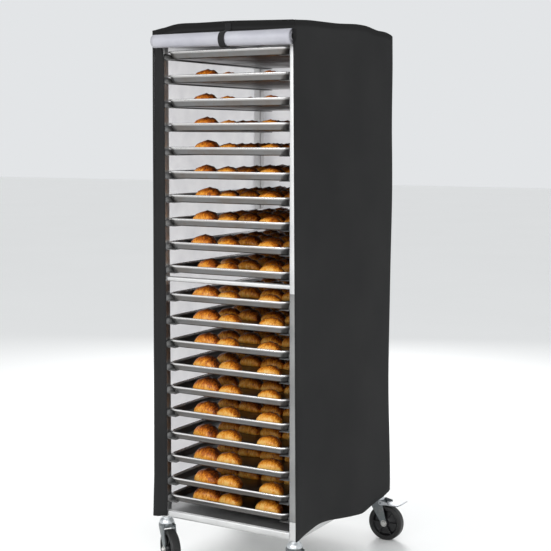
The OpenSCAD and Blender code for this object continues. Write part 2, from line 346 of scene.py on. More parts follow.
class Shape:
    """Collects grids of points, and makes one mesh object of them."""

    def __init__(self):
        self.points, self.faces, self.slots, self.uvs, self.count = [], [], [], [], 0

    def grid(self, points, wrap_cols=False, keep=None, slot=0, uv=None, flip=False):
        """Adds a grid of shape (rows, cols, 3). keep is a mask over its quads, and uv a (rows, cols, 2) grid."""
        rows, cols = points.shape[:2]
        faces = quads(rows, cols, wrap_cols)
        if flip:
            faces = faces[:, ::-1]
        if keep is not None:
            faces = faces[np.asarray(keep).ravel()]
        self.points.append(points.reshape(-1, 3))
        self.uvs.append(np.zeros((rows * cols, 2)) if uv is None else uv.reshape(-1, 2))
        self.faces.append(faces + self.count)
        self.slots.append(np.full(len(faces), slot))
        self.count += rows * cols
        return self

    def make(self, name, body, slot, materials, replaces=(), sharp=40.0, closed=True, **values):
        """The object, riding its body: doubles merged, and normals outwards on a closed shape.

        values are attributes with one number per point.
        """
        mesh = bpy.data.meshes.new(name)
        mesh.from_pydata(np.concatenate(self.points).tolist(), [], np.concatenate(self.faces).tolist())
        uv = np.concatenate(self.uvs)
        corner = np.zeros(len(mesh.loops), np.int32)
        mesh.loops.foreach_get("vertex_index", corner)
        mesh.uv_layers.new(name="UVMap").uv.foreach_set("vector", uv[corner].ravel().astype(np.float32))
        mesh.polygons.foreach_set("material_index", np.concatenate(self.slots).astype(np.int32))
        for key, numbers in values.items():
            attribute = mesh.attributes.new(key, "FLOAT", "POINT")
            attribute.data.foreach_set("value", np.asarray(numbers, np.float32))
        work = bmesh.new()
        work.from_mesh(mesh)
        bmesh.ops.remove_doubles(work, verts=work.verts, dist=2e-6)
        bmesh.ops.dissolve_degenerate(work, edges=work.edges, dist=1e-7)
        if closed:
            bmesh.ops.recalc_face_normals(work, faces=work.faces)
        work.to_mesh(mesh)
        work.free()
        mesh.shade_smooth()
        mesh.set_sharp_from_angle(angle=math.radians(sharp))
        for material in materials:
            mesh.materials.append(material)
        made = bpy.data.objects.new(name, mesh)
        bpy.context.scene.collection.objects.link(made)
        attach(made, body)
        if replaces:
            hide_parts(*replaces)
        return made


# %% [markdown]
# ## Profiles
# A tube is a rounded square carried along a straight line, and a turned piece is a line of radii and heights
# carried round an axis. Both close their ends by shrinking the last ring to a point.

# %% Sweeps and turned pieces
def rounded_loop(w, l, r, steps=6):
    """Points round a w by l rectangle with corner radius r: a quarter circle at each corner."""
    angles = np.concatenate([np.linspace(k, k + 1, steps + 1) for k in range(4)]) * math.pi / 2
    corner = np.repeat([[1, 1], [-1, 1], [-1, -1], [1, -1]], steps + 1, axis=0)
    r = max(r, 1e-6)
    return corner * [w / 2 - r, l / 2 - r] + r * np.stack([np.cos(angles), np.sin(angles)], -1)


def carry(loop, start, end, side):
    """A loop of 2D points carried from start to end, closed at both. Its first axis lies along side."""
    start, end, side = (np.asarray(v, float) for v in (start, end, side))
    along = (end - start) / np.linalg.norm(end - start)
    other = np.cross(along, side)
    ring = loop[:, :1] * side + loop[:, 1:] * other
    middle = ring.mean(0) * np.ones_like(ring)
    return np.stack([start + middle, start + ring, end + ring, end + middle])


def turned(profile, middle, axis, steps=48):
    """Rings round an axis through middle: profile holds (radius, height along the axis)."""
    profile, axis = np.asarray(profile, float), np.asarray(axis, float)
    side = np.cross(axis, (0.0, 0.0, 1.0) if abs(axis[2]) < 0.9 else (1.0, 0.0, 0.0))
    side /= np.linalg.norm(side)
    angle = np.linspace(0, math.tau, steps, endpoint=False)[None, :, None]
    spoke = np.cos(angle) * side + np.sin(angle) * np.cross(axis, side)
    return np.asarray(middle) + profile[:, :1, None] * spoke + profile[:, 1:, None] * axis


def box_of(node):
    """A CAD node's lowest and highest corner, as numpy arrays."""
    low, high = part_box(node)
    return np.array(low), np.array(high)


# %% [markdown]
# ## The rack's tubes
# The posts and bars are 25 mm square tube with small round edges, which catch a thin line of light. Each one is
# measured from its node's box and made again with those edges. A post is two lengths with a fine gap at the mid
# joint, where the plug shows between them.

# %% Posts and bars
post_low, post_high = box_of("post_back_right")
TUBE = post_high[0] - post_low[0]
EDGE = 0.0022
X, Y, Z = np.eye(3)
mid_low, mid_high = box_of("mid_bars")
base_low, base_high = box_of("base_frame")
MID_JOINT = mid_low[2] - 0.012
HALF_GAP, HALF_PLUG, PLUG_SLACK = 0.0006, 0.003, 0.002
MID_SIDE = mid_high[2] - mid_low[2]
TUBE_LOOP = rounded_loop(TUBE, TUBE, EDGE, 3)
PLUG_LOOP = rounded_loop(TUBE - PLUG_SLACK, TUBE - PLUG_SLACK, EDGE, 3)
BAR_LOOP = rounded_loop(TUBE, TUBE, 0.007, 4)
MID_LOOP = rounded_loop(MID_SIDE, MID_SIDE, 0.006, 4)

for corner in CORNERS:
    low, high = box_of(f"post_{corner}")
    foot = np.array([*(low + high)[:2] / 2, 0.0])
    post = Shape()
    for slot, z0, z1 in ((1, low[2] + HALF_GAP, MID_JOINT - HALF_GAP), (0, MID_JOINT + HALF_GAP, high[2])):
        post.grid(carry(TUBE_LOOP, foot + z0 * Z, foot + z1 * Z, X), wrap_cols=True, slot=slot)
    post.grid(carry(PLUG_LOOP, foot + (MID_JOINT - HALF_PLUG) * Z, foot + (MID_JOINT + HALF_PLUG) * Z, X),
              wrap_cols=True)
    # The lower length takes the darker copy of the tube finish, which is painted shade.
    post.make(f"post_tube_{corner}", "rack", "rack_aluminium", [TUBE_UPRIGHT, TUBE_LOWER_SHADED],
              [f"post_{corner}"])

frame_shape = Shape()
top_shape = Shape()
mid_shape = Shape()
half = (base_high - base_low)[:2] / 2
leg_x, leg_y = half - TUBE / 2
bar_z = base_low[2] + TUBE / 2
top_z = post_high[2] - TUBE / 2
for sx in (-1, 1):
    for sy in (-1, 1):
        leg = sx * leg_x * X + sy * leg_y * Y
        frame_shape.grid(carry(TUBE_LOOP, leg + base_low[2] * Z, leg + base_high[2] * Z, X), wrap_cols=True)
for s in (-1, 1):
    for shape, z in ((frame_shape, bar_z), (top_shape, top_z)):
        inner = leg_x - TUBE / 2
        shape.grid(carry(BAR_LOOP, s * leg_y * Y + z * Z - inner * X, s * leg_y * Y + z * Z + inner * X, Y),
                   wrap_cols=True)
        inner = leg_y - TUBE / 2
        shape.grid(carry(TUBE_LOOP, s * leg_x * X + z * Z - inner * Y, s * leg_x * X + z * Z + inner * Y, X),
                   wrap_cols=True, slot=1)
    middle = s * (mid_high[1] - MID_SIDE / 2) * Y + (mid_low[2] + mid_high[2]) / 2 * Z
    mid_shape.grid(carry(MID_LOOP, middle - mid_high[0] * X, middle + mid_high[0] * X, Y), wrap_cols=True)
frame_shape.make("base_ring", "rack", "rack_aluminium", [TUBE_ACROSS, TUBE_DEEP], ["base_frame"])
top_shape.make("top_ring", "rack", "rack_aluminium", [TUBE_ACROSS, TUBE_DEEP], ["top_frame"])
mid_shape.make("mid_rails", "rack", "rack_aluminium", [TUBE_ACROSS], ["mid_bars"])
print("tube", round(TUBE, 4), "m square, mid joint at", round(MID_JOINT, 3))

# %% [markdown]
# ## Runners
# Each runner is an angle, 36 mm deep and 20 mm high, with a small radius in its corner. One outline is carried
# from front to back for each of the twenty levels on each side.

# %% Angle runners
runner_low, runner_high = box_of("runners_left")
LEDGE = runner_high[0] - runner_low[0]
LEDGE_T = 0.002
LEG = 0.020
HEEL_R = 0.004
pan_boxes = [box_of(p) for p in PANS]
LEDGE_TOPS = [low[2] - 0.0002 for low, high in pan_boxes]


def angle_outline():
    """An L, from the tip of the ledge to the top of the leg and back, with a round heel."""
    bend = np.linspace(0, math.pi / 2, 5)
    quarter = np.stack([np.sin(bend), np.cos(bend)], -1)
    heel, inside = HEEL_R - HEEL_R * quarter, HEEL_R - (HEEL_R - LEDGE_T) * quarter
    return np.vstack([[LEDGE, LEDGE_T], [LEDGE, 0.0], heel, [0.0, LEG], [LEDGE_T, LEG], inside[::-1]])


for side, word in ((-1, "left"), (1, "right")):
    runners = Shape()
    outline = angle_outline() * [-side, 1.0]
    for top in LEDGE_TOPS:
        at = np.array([side * abs(runner_low[0]), 0.0, top - LEDGE_T])
        ring = outline[:, :1] * X + outline[:, 1:] * Z
        ends = [at + ring + y * Y for y in (runner_low[1], runner_high[1])]
        runners.grid(np.stack(ends), wrap_cols=True)
    made = runners.make(f"angle_runners_{word}", "rack", "rack_aluminium", [RUNNER_SHADED_METAL], [f"runners_{word}"])
    work = bmesh.new()
    work.from_mesh(made.data)
    bmesh.ops.holes_fill(work, edges=work.edges, sides=0)
    bmesh.ops.recalc_face_normals(work, faces=work.faces)
    work.to_mesh(made.data)
    work.free()
print("runners at", len(LEDGE_TOPS), "levels")

# %% [markdown]
# ## Sheet pans
# A pan is one sheet: a flat floor, a small cove, a leaning wall and a rim that rolls over a wire. The profile
# gives how far in from the rim's edge and how high each ring of points lies, and the rings are rounded
# rectangles.

# %% Pans
pan_low, pan_high = pan_boxes[0]
PAN_W, PAN_L, PAN_H = pan_high - pan_low
RIM, LEAN, SHEET = 0.004, 0.010, 0.0011
PAN_CORNER, CORNER_STEPS = 0.034, 7
RING_POINTS = 4 * (CORNER_STEPS + 1)


def pan_profile():
    """(inset, height) from the middle of the floor out to the end of the rolled rim."""
    cove_r = 0.006
    foot = RIM + LEAN
    bend = np.linspace(0, 1, 6)
    cove = np.stack([foot + cove_r * (1 - bend) ** 1.6, cove_r * bend**1.6], -1)
    wall = np.stack([np.linspace(foot, RIM + 0.001, 4)[1:], np.linspace(cove_r, PAN_H - 0.0035, 4)[1:]], -1)
    turn = np.radians(np.linspace(0, 285, 12))
    bead_r = 0.0023
    bead_at = np.array([bead_r + 0.0003, PAN_H - bead_r - 0.0004])
    bead = bead_at + bead_r * np.stack([np.cos(turn), np.sin(turn)], -1)
    floor = [[PAN_W / 2 - 1e-6, 0.0], [PAN_W / 4, 0.0], [0.05, 0.0], [foot + 0.011, 0.0]]
    return np.vstack([floor, cove, wall, bead])


PROFILE = pan_profile()
RIM_FROM = PAN_H - 0.0062
# Marks the rim's rings, which the pan finish paints bright as a highlight.
RIM_HIGHLIGHT_MASK = np.repeat((PROFILE[:, 1] > RIM_FROM) * 1.0, RING_POINTS)
for name, (low, high) in zip(PANS, pan_boxes):
    rings = [
        np.hstack([
            rounded_loop(PAN_W - 2 * d, PAN_L - 2 * d, PAN_CORNER - d, CORNER_STEPS),
            np.full((RING_POINTS, 1), low[2] + SHEET / 2 + h),
        ])
        for d, h in PROFILE
    ]
    pan = Shape().grid(np.stack(rings), wrap_cols=True)
    made = pan.make(f"sheet_{name}", name, "pan_aluminium", [PAN_SHEET], [name], sharp=60, closed=False,
                    rubbed=RIM_HIGHLIGHT_MASK)
    wall = made.modifiers.new("sheet", "SOLIDIFY")
    wall.thickness, wall.offset = SHEET, 0.0
print("pans", len(PANS), "of", round(PAN_W, 3), "by", round(PAN_L, 3), "m")

# %% [markdown]
# ## Cover
# The cover is one soft box over the rack: black outside, silver inside. Its outline at each height is a
# rectangle with round corners that aren't quite square or plumb, and the whole grid is worked out at once.
# Rows run from the hem up the walls, over the top edge, and in to the middle of the top.

# %% Cover outline
TOP = post_high[2] + 0.0015
HEM = box_of("cover")[0][2]
BAND = 1.733
FRONT_Y = -0.3285
CORNER_R = np.array([0.010, 0.030, 0.026, 0.003])
SIDE_STEPS = (48, 36, 48, 34)
STRIP_X = -0.2292


def smooth(x, a, b):
    """0 below a, 1 above b, and a smooth step between them."""
    t = np.clip((x - a) / (b - a), 0, 1)
    return t * t * (3 - 2 * t)


def bell(x, middle, width):
    """A bump of height 1 at middle: e to the minus square of the distance over the width."""
    return np.exp(-(((x - middle) / width) ** 2))


def cover_corners(z):
    """The four corners (x, y) at each height: front left, back left, back right, front right.

    The back bellies out in two soft bumps and the side walls lean, so the cover is wider at the hem.
    """
    one = np.ones(len(z))
    back = 0.338 + 0.026 * bell(z, 1.25, 0.26) + 0.028 * bell(z, 0.2, 0.35) + 0.010 * smooth(z, 1.4, 1.7)
    left = np.interp(z, [0.165, 0.3, 1.0, 1.7], [-0.281, -0.276, -0.272, -0.268])
    right = np.interp(z, [0.2, 1.7], [0.270, 0.2595])
    return np.stack([
        np.stack([left, FRONT_Y * one], -1),
        np.stack([left, back], -1),
        np.stack([0.273 * one, back], -1),
        np.stack([right, FRONT_Y * one], -1),
    ])


def cover_loops(z, shrink):
    """Closed loops of points (x, y, z), one per height, clockwise from the front left corner.

    Each corner is a parabola between points on its two sides, and shrink draws a loop in to its middle, from 0
    to 1. The front side has a column along STRIP_X, the straight edge of its left strip, which stays clear of the
    pans' path.
    """
    corners = cover_corners(z)
    middle = corners.mean(0)
    right, left = corners[3, :, 0], corners[0, :, 0]
    strip_share = (right - CORNER_R[3] - STRIP_X) / (right - left - CORNER_R[[0, 3]].sum())
    corners = middle + (corners - middle) * (1 - shrink)[None, :, None]
    parts = []
    for k in range(4):
        before, here, after = corners[k - 1], corners[k], corners[(k + 1) % 4]
        long = np.linalg.norm(after - here, axis=1, keepdims=True)
        short = np.linalg.norm(before - here, axis=1, keepdims=True)
        r_in, r_out = np.minimum(CORNER_R[k], 0.3 * short), np.minimum(CORNER_R[k], 0.3 * long)
        r_next = np.minimum(CORNER_R[(k + 1) % 4], 0.3 * long)
        start = here + (before - here) / short * r_in
        leave = here + (after - here) / long * r_out
        t = np.linspace(0, 1, 7)[:, None, None]
        parts.append((1 - t) ** 2 * start + 2 * t * (1 - t) * here + t**2 * leave)
        s = np.linspace(0, 1, SIDE_STEPS[k] + 2)[1:-1, None] * np.ones(len(z))
        if k == 3:
            to_strip = np.linspace(0.004, 1, SIDE_STEPS[3] - 2)[:, None] * strip_share
            s = np.concatenate([to_strip, strip_share + (1 - strip_share) * np.array([[0.35], [0.7]])])
        s = s[..., None]
        parts.append((1 - s) * leave + s * (after - (after - here) / long * r_next))
    flat = np.concatenate([*parts, parts[0][:1]]).transpose(1, 0, 2)
    return np.concatenate([flat, np.broadcast_to(z[:, None, None], (*flat.shape[:2], 1))], -1)


# %% [markdown]
# ## Hem, top edge and folds
# Cloth that hangs free has no level edge, and its top edge rises and falls over the rack. Both are read round
# the cover from a few heights per side. The walls get long shallow folds: sums of a few sine waves whose phase
# drifts with height.

# %% Heights and folds
SIDE_FROM = 0.257


def round_the_cover(x, y, front, right, back, left):
    """A height for each place on the outline: each side has its own run of (place, height), blurred a little."""
    runs = ((x, front), (y, right), (x, back), (y, left))
    on_front, on_right, on_back, on_left = (np.interp(along, *zip(*run)) for along, run in runs)
    on_ends = np.where(y > 0, on_back, on_front)
    height = np.where(x > SIDE_FROM, on_right, np.where(x < -SIDE_FROM, on_left, on_ends))
    blurred = np.convolve(np.r_[height[-3:-1], height, height[1:3]], np.array([1, 2, 3, 2, 1]) / 9, "valid")
    blurred[-1] = blurred[0]
    return blurred


def hem_height(x, y):
    """Height of the hem. It stays above the sweep of the back casters' pedals."""
    return round_the_cover(
        x, y,
        front=[(-0.276, 0.166), (-0.232, 0.169), (0.24, 0.168), (0.262, 0.167)],
        right=[(-0.33, 0.168), (-0.30, 0.172), (-0.18, 0.186), (-0.12, 0.181), (0.0, 0.160), (0.12, 0.140),
               (0.21, 0.148), (0.30, 0.151), (0.36, 0.166)],
        back=[(-0.26, 0.166), (-0.1, 0.155), (0.08, 0.165), (0.26, 0.156)],
        left=[(-0.33, 0.166), (-0.1, 0.170), (0.1, 0.180), (0.35, 0.168)],
    )


def edge_height(x, y):
    """Height of the top edge: tight over the front left, slack over the right side, and low at the corners."""
    return round_the_cover(
        x, y,
        front=[(-0.27, 1.757), (-0.243, 1.758), (-0.171, 1.775), (-0.086, 1.773), (0.03, 1.774),
               (0.255, 1.767)],
        right=[(-0.33, 1.766), (-0.243, 1.772), (-0.056, 1.776), (0.07, 1.784), (0.14, 1.784), (0.22, 1.774),
               (0.29, 1.774), (0.34, 1.762)],
        back=[(-0.26, 1.760), (-0.1, 1.768), (0.12, 1.766), (0.26, 1.760)],
        left=[(-0.33, 1.757), (-0.2, 1.771), (0.1, 1.773), (0.28, 1.768), (0.34, 1.760)],
    )


def wall_folds(p, z):
    """How far the wall stands out at distance p round the outline and height z: long shallow folds."""
    wave = 0.0024 * np.sin(7.5 * p + 2.2 * np.sin(2.1 * z) + 1.0)
    skirt = (1 - smooth(z, 0.2, 0.9)) * 0.004 * np.sin(13.0 * p + 1.4 * z)
    pleat = smooth(z, 1.45, 1.74) * 0.0014 * np.sin(31.0 * p + 4.0 * z)
    return wave + skirt + pleat + 0.0014 * np.sin(9.0 * z + 5.0 * p)


# %% [markdown]
# ## From outline to cloth
# One grid holds the walls, the turn at the top edge and the lid. The walls start from the outline, end at the
# hem's and the edge's heights, and are pushed out by the folds, hardly at all at the front. The lid never goes
# below the rack it lies on. The left strip leans back against its post, out of the way of the pans.

# %% Cover grid
WALL_ROWS, EDGE_ROWS, TOP_ROWS = 100, 6, 16
EDGE_INSET, EDGE_DROP, DARK_BAND_DEPTH = 0.014, 0.0030, 0.018
CLOTH_T = 0.0008
LID_MIDDLE, LID_OVER_RACK, BACK_MARGIN = 1.772, 0.0012, 0.012
RACK_X, RACK_Y = post_high[:2] + 0.002
STRIP_LEAN, LEAN_FROM, LEAN_FULL = 0.0152, -0.264, -0.238
LEAN_FADES, LEAN_ENDS = 1.66, 1.725
up = 1 - (1 - np.linspace(0, 1, WALL_ROWS)) ** 1.25
over = np.linspace(0, 1, EDGE_ROWS + 1)[1:]
inset = np.r_[np.zeros(WALL_ROWS), EDGE_INSET * over**2, np.linspace(EDGE_INSET, 0.9999, TOP_ROWS + 1)[1:]]
cloth = cover_loops(np.r_[HEM + (TOP - HEM) * up, np.full(EDGE_ROWS + TOP_ROWS, TOP)], inset)
wall, crown = cloth[:WALL_ROWS], cloth[WALL_ROWS:]
around = np.r_[0, np.cumsum(np.linalg.norm(np.diff(wall[0, :, :2], axis=0), axis=1))]
hem = hem_height(*wall[0, :, :2].T)
edge = edge_height(*wall[-1, :, :2].T)
wall[..., 2] = hem + (edge - EDGE_DROP - hem) * up[:, None]
# The darker band: from a little below the top edge up to it, then over the whole turn.
binding = smooth(wall[..., 2], edge - DARK_BAND_DEPTH - 0.004, edge - DARK_BAND_DEPTH)
inner = smooth(inset[WALL_ROWS:, None], EDGE_INSET, 0.5)
crown[..., 2] = edge * (1 - inner) + LID_MIDDLE * inner
crown[:EDGE_ROWS, :, 2] -= EDGE_DROP * ((1 - over) ** 2)[:, None]
at_back = BACK_MARGIN * (crown[..., 1] > 0)
on_rack = (np.abs(crown[..., 0]) < RACK_X + at_back) & (np.abs(crown[..., 1]) < RACK_Y + at_back)
crown[..., 2] = np.where(on_rack, np.maximum(crown[..., 2], TOP + LID_OVER_RACK), crown[..., 2])
ahead = np.roll(wall[..., :2], -1, axis=1) - np.roll(wall[..., :2], 1, axis=1)
ahead[:, [0, -1]] = (wall[:, 1] - wall[:, -2])[:, None, :2]
outwards = np.stack([-ahead[..., 1], ahead[..., 0]], -1)
outwards /= np.linalg.norm(outwards, axis=-1, keepdims=True)
push = wall_folds(around[None, :], wall[..., 2]) * (1 - 0.9 * bell(wall[..., 1], FRONT_Y, 0.03))
push *= (1 - up**8)[:, None]
push[:, -1] = push[:, 0]
wall[..., :2] += outwards * push[..., None]
COLS = wall.shape[1]
front_start = COLS - 1 - SIDE_STEPS[3]
on_strip = (np.arange(COLS) > front_start) & (wall[..., 0] < STRIP_X + 0.001)
leans = smooth(wall[..., 0], LEAN_FROM, LEAN_FULL) * (1 - smooth(wall[..., 2], LEAN_FADES, LEAN_ENDS))
wall[..., 1] += np.where(on_strip, STRIP_LEAN * leans, 0.0)
print("cover round", round(float(around[-1]), 3), "m in", COLS, "columns")

# %% [markdown]
# ## Opening and thickness
# The opening in the front is a block of quads left out, from the hem to the band and from the left strip to the
# right one. A Solidify modifier gives the cloth its thickness and puts the silver lining on its inner side.

# %% Cover cloth
FRONT_HEM, FRONT_EDGE = 0.170, 1.770
band_row = int(np.searchsorted(up, (BAND - FRONT_HEM) / (FRONT_EDGE - FRONT_HEM)))
row, col = np.indices((WALL_ROWS + EDGE_ROWS - 1, COLS - 1))
in_opening = (col >= front_start) & (col < front_start + SIDE_STEPS[3] - 3) & (row < band_row)
walls_and_edge = cloth[:WALL_ROWS + EDGE_ROWS]
wall_uv = np.stack(np.broadcast_arrays(around[None, :], walls_and_edge[..., 2]), -1)
cover_shape = Shape().grid(walls_and_edge, keep=~in_opening, uv=wall_uv, flip=True)
top_grid = cloth[WALL_ROWS + EDGE_ROWS - 1:]
cover_shape.grid(top_grid, uv=top_grid[..., :2], flip=True)
all_dark_band = np.concatenate([binding.ravel(), np.ones(EDGE_ROWS * COLS), np.zeros(len(top_grid) * COLS)])


def cloth_piece(shape, name, body, slot, materials, replaces, thickness=CLOTH_T, rim=0, **values):
    """A sheet thickened inwards. The last material is on its inner side, and rim says which its edges take."""
    made = shape.make(name, body, slot, materials, replaces, sharp=75, closed=False, **values)
    solid = made.modifiers.new("thickness", "SOLIDIFY")
    solid.thickness, solid.offset, solid.material_offset = thickness, -1.0, len(materials) - 1
    solid.material_offset_rim = rim
    return made


cover = cloth_piece(cover_shape, "cover_cloth", "cover", "black_fabric", [BLACK_CLOTH, SILVER_CLOTH], ["cover"],
                    binding=all_dark_band)
print("cover cloth has", len(cover.data.polygons), "faces")

# %% [markdown]
# ## Rolled flap
# The flap hangs from the band over the opening, goes down behind the roll, and winds in from its outermost
# layer. Its lining faces out, so the roll looks silver, and its end shows the layers as a spiral. The roll is a
# little thicker and lower at its right end.

# %% Spiral of cloth
roll_low, roll_high = box_of("flap_roll")
ROLL_Y, ROLL_Z = (roll_low + roll_high)[1:] / 2
PAST_RIGHT = 0.010
ROLL_LEFT, ROLL_RIGHT = roll_low[0], roll_high[0] + PAST_RIGHT
ROLL_R = (roll_high[2] - roll_low[2]) / 2
PITCH, CORE_R = 0.0010, 0.0070
LEFT_THIN, THICKENS = 0.002, 0.003
LEFT_RISE, FALLS = 0.0045, 0.0050
along = np.linspace(0, 1, 44)[:, None]
outer_r = ROLL_R - LEFT_THIN + THICKENS * along
TURNS = (ROLL_R - 0.0005 - CORE_R) / PITCH
theta = np.linspace(0, TURNS * math.tau, int(TURNS * 32))
radius = outer_r - PITCH * theta / math.tau
ripple = 1 + 0.010 * np.sin(3 * theta + 5 * along) + 0.012 * np.sin(9 * along + theta)
ragged = 0.0018 * np.sin(theta * 0.37) * (2 * along - 1) ** 9
rise = LEFT_RISE - FALLS * along
spiral = np.stack([
    ROLL_LEFT + (ROLL_RIGHT - ROLL_LEFT) * along + ragged,
    ROLL_Y + np.cos(theta) * radius * ripple,
    ROLL_Z - np.sin(theta) * radius * ripple + rise,
], -1)
LEAD_Y = FRONT_Y - 0.0026
hang = np.linspace(BAND + 0.010, ROLL_Z + 0.006, 5)
lead = np.stack(np.broadcast_arrays(spiral[:, :1, 0], np.full(5, LEAD_Y), hang), -1)
flap = np.concatenate([lead, spiral], axis=1)
flap_run = np.r_[0, np.cumsum(np.linalg.norm(np.diff(flap[0], axis=0), axis=1))]
ROLL_LONG = float(ROLL_RIGHT - ROLL_LEFT)
flap_uv = np.stack(np.broadcast_arrays(along * ROLL_LONG, flap_run[None, :]), -1)
roll = cloth_piece(Shape().grid(flap, uv=flap_uv, flip=True), "rolled_flap", "cover", "silver_lining",
                   [ROLL_CLOTH_SHADED, BLACK_CLOTH], ["flap_roll"], thickness=0.0007, rim=1)

# %% [markdown]
# ## Strap
# One strap of black webbing comes from under the top edge, down over the roll and up behind it. Its path is a
# circle round the roll, opened at the back, and a short run up to the top edge.

# %% Strap
strap_low, strap_high = box_of("flap_strap")
STRAP_X = (strap_low[0] + strap_high[0]) / 2
STRAP_W = 0.022
STRAP_R = ROLL_R + 0.0022
STRAP_SWAY, STRAP_CROWN = 0.005, 0.0006
arc = np.radians(np.linspace(112, 372, 48))
strap_path = np.concatenate([
    [[FRONT_Y - 0.0018, 1.766], [FRONT_Y - 0.0022, 1.752], [FRONT_Y - 0.0055, 1.7445],
     [ROLL_Y + 0.010, ROLL_Z + 0.0268]],
    np.stack([ROLL_Y + STRAP_R * np.cos(arc), ROLL_Z + STRAP_R * np.sin(arc)], -1),
])
strap_run = np.r_[0, np.cumsum(np.linalg.norm(np.diff(strap_path, axis=0), axis=1))]
across = np.linspace(-0.5, 0.5, 7)[:, None] * STRAP_W
strap_grid = np.stack(np.broadcast_arrays(
    STRAP_X + across + STRAP_SWAY * np.sin(strap_run / strap_run[-1] * math.pi),
    strap_path[:, 0] + 0 * across,
    strap_path[:, 1] + STRAP_CROWN * np.cos(across / STRAP_W * math.pi),
), -1)
strap_uv = np.stack(np.broadcast_arrays(across, strap_run[None, :]), -1)
strap = cloth_piece(Shape().grid(strap_grid, uv=strap_uv), "roll_strap", "cover", "black_webbing", [WEBBING],
                    ["flap_strap"], thickness=0.0011)
print("strap", STRAP_W, "by", round(float(strap_run[-1]), 3), "m")

# %% [markdown]


# %% [markdown]
# ## Casters
# The swivel head, the fork and the pedal are pressed and cast steel, so their CAD shapes are right but for
# their edges. A copy of each CAD mesh is merged, and a bevel rounds its corners.

# %% Soft-edged copies
CAST_EDGE, PRESSED_EDGE = 0.0010, 0.0008


def soft_edged(node, name, body, material, width):
    """A copy of a CAD node with its triangles merged and its edges rounded to this width."""
    mesh = frame["nodes"][node].data.copy()
    mesh.name = name
    work = bmesh.new()
    work.from_mesh(mesh)
    bmesh.ops.remove_doubles(work, verts=work.verts, dist=1e-6)
    bmesh.ops.dissolve_limit(work, angle_limit=math.radians(1), verts=work.verts, edges=work.edges)
    work.to_mesh(mesh)
    work.free()
    mesh.materials.clear()
    mesh.materials.append(material)
    mesh.shade_smooth()
    mesh.set_sharp_from_angle(angle=math.radians(35))
    made = bpy.data.objects.new(name, mesh)
    bpy.context.scene.collection.objects.link(made)
    bevel = made.modifiers.new("edges", "BEVEL")
    bevel.width, bevel.segments, bevel.angle_limit = width, 2, math.radians(35)
    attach(made, body)
    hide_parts(node)
    return made


for corner in CORNERS:
    soft_edged(f"caster_stem_{corner}", f"caster_head_{corner}", "rack", ZINC, CAST_EDGE)
    soft_edged(f"caster_fork_{corner}", f"pressed_fork_{corner}", f"caster_{corner}", DULL_ZINC,
               PRESSED_EDGE)
for corner in CORNERS[2:]:
    soft_edged(f"brake_pedal_{corner}", f"foot_pedal_{corner}", f"pedal_{corner}", WORN_ZINC,
               PRESSED_EDGE)
print("casters", len(CORNERS), "with", len(CORNERS[2:]), "pedals")


# %% [markdown]
# ## Wheels
# A caster wheel is a rubber tyre moulded round a plastic core. Both are turned profiles, and the core has ribs
# between its boss and its rim. The axle bolt has a washer and a six-sided nut on each side.

# %% Wheels
TYRE_HALF, TYRE_THICK = 0.016, 0.0118
RIB_ROOT, RIB_SHORT = 0.012, 0.0175
BOLT_HALF = 0.030
RIB_LOOP = rounded_loop(0.004, 0.009, 0.0012, 2)
SHANK = [[0, -BOLT_HALF], [0.0052, -BOLT_HALF], [0.0059, 0.001 - BOLT_HALF], [0.0059, BOLT_HALF - 0.001],
         [0.0052, BOLT_HALF], [0, BOLT_HALF]]
WASHER = np.array([[0, 0.0221], [0.0115, 0.0221], [0.0118, 0.0226], [0.0115, 0.0234], [0, 0.0234]])
NUT = np.array([[0, 0.0234], [0.0085, 0.0234], [0.0092, 0.0240], [0.0092, 0.0272], [0.0080, 0.0284],
                [0, 0.0284]])


def tyre_profile(r, w):
    """Tread with a low crown, round shoulders and a shallow groove on each side, as a closed loop."""
    turn = np.linspace(0, math.pi / 2, 6)
    side = [[r - TYRE_THICK, w - 0.001], [r - 0.0105, w - 0.0002], [r - 0.009, w - 0.001],
            [r - 0.0075, w - 0.0001]]
    shoulder = np.stack([r - 0.0062 + 0.006 * np.sin(turn), w - 0.006 + 0.006 * np.cos(turn)], -1)
    half_loop = np.vstack([side, shoulder, [[r - 0.0001, w * 0.5], [r, 0.0]]])
    return np.vstack([half_loop, half_loop[-2::-1] * [1, -1], half_loop[:1]])


def core_profile(r, w):
    """Boss, thin web and rim of the core, as a closed loop."""
    half_loop = np.array([[0.0062, w + 0.002], [0.012, w + 0.002], [0.0135, w + 0.0005], [0.0145, 0.0085],
                          [0.020, 0.0055], [r - 0.010, 0.0048], [r - 0.006, 0.008], [r - 0.005, w - 0.003],
                          [r - 0.004, w - 0.002], [r, w - 0.0022]])
    return np.vstack([half_loop, half_loop[::-1] * [1, -1], half_loop[:1]])


def joint_of(body):
    """Where a body's joint is, and its axis."""
    joint = next(j for j in frame["joints"] if j["child"] == body)
    return np.array(joint["pos_m"]), np.array(joint["axis"], float)


